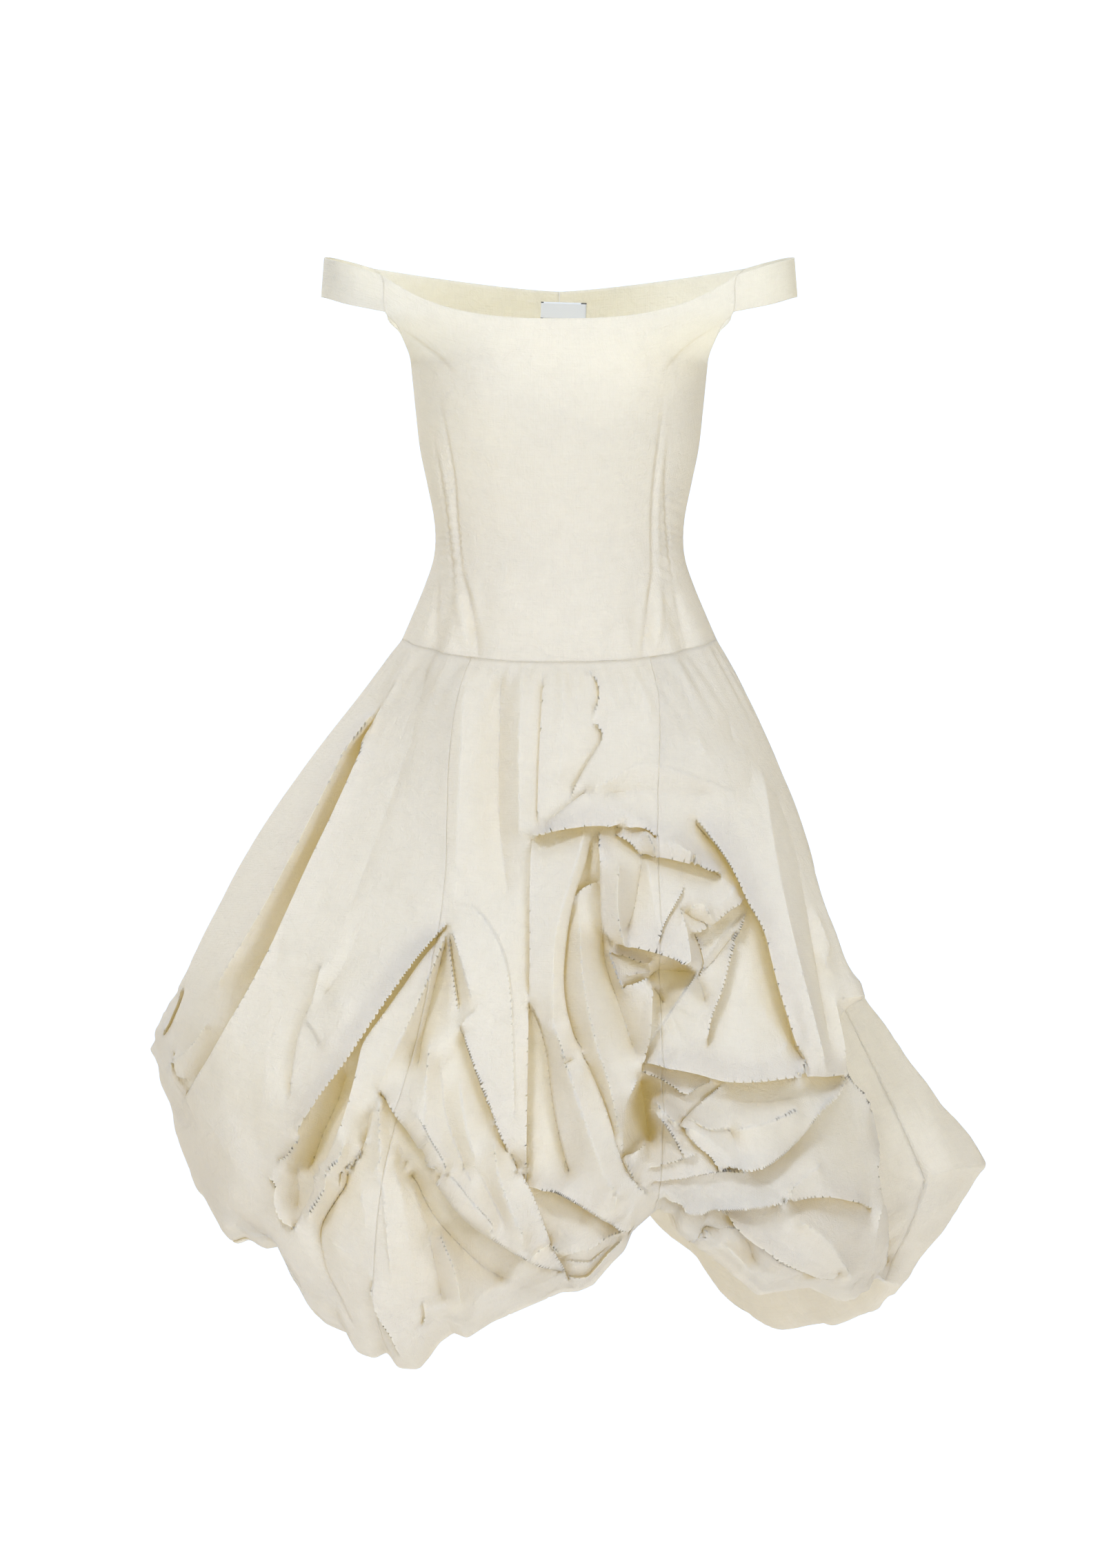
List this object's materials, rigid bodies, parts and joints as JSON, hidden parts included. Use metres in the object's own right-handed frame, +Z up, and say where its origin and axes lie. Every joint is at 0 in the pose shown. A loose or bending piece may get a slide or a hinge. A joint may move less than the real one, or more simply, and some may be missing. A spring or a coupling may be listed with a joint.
{
  "type": "off-shoulder bubble dress",
  "caption": "Off-shoulder cotton dress with a fitted darted bodice, arm bands, a dropped seam and a draped bubble skirt with a cloth rose.",
  "frame": {"origin": "middle of the waist, the narrowest ring of the bodice, where the dress grips its wearer", "axes": "+Z up the wearer's body, -Y to the wearer's front, +X to the right in the front view (the wearer's left)"},
  "size_m": [0.822, 0.677, 1.1101],
  "materials": {
    "cotton": "crisp ivory cotton poplin, matt, finely creased",
    "label_tape": "plain woven tape, blank"
  },
  "bodies": {
    "root": {"bodice_front": "cotton", "bodice_back_left": "cotton", "bodice_back_right": "cotton", "arm_band_left": "cotton", "arm_band_right": "cotton", "neck_label": "label_tape", "skirt_front_left": "cotton", "skirt_front_centre": "cotton", "skirt_front_right": "cotton", "skirt_back_right": "cotton", "skirt_back_left": "cotton"}
  },
  "joints": []
}
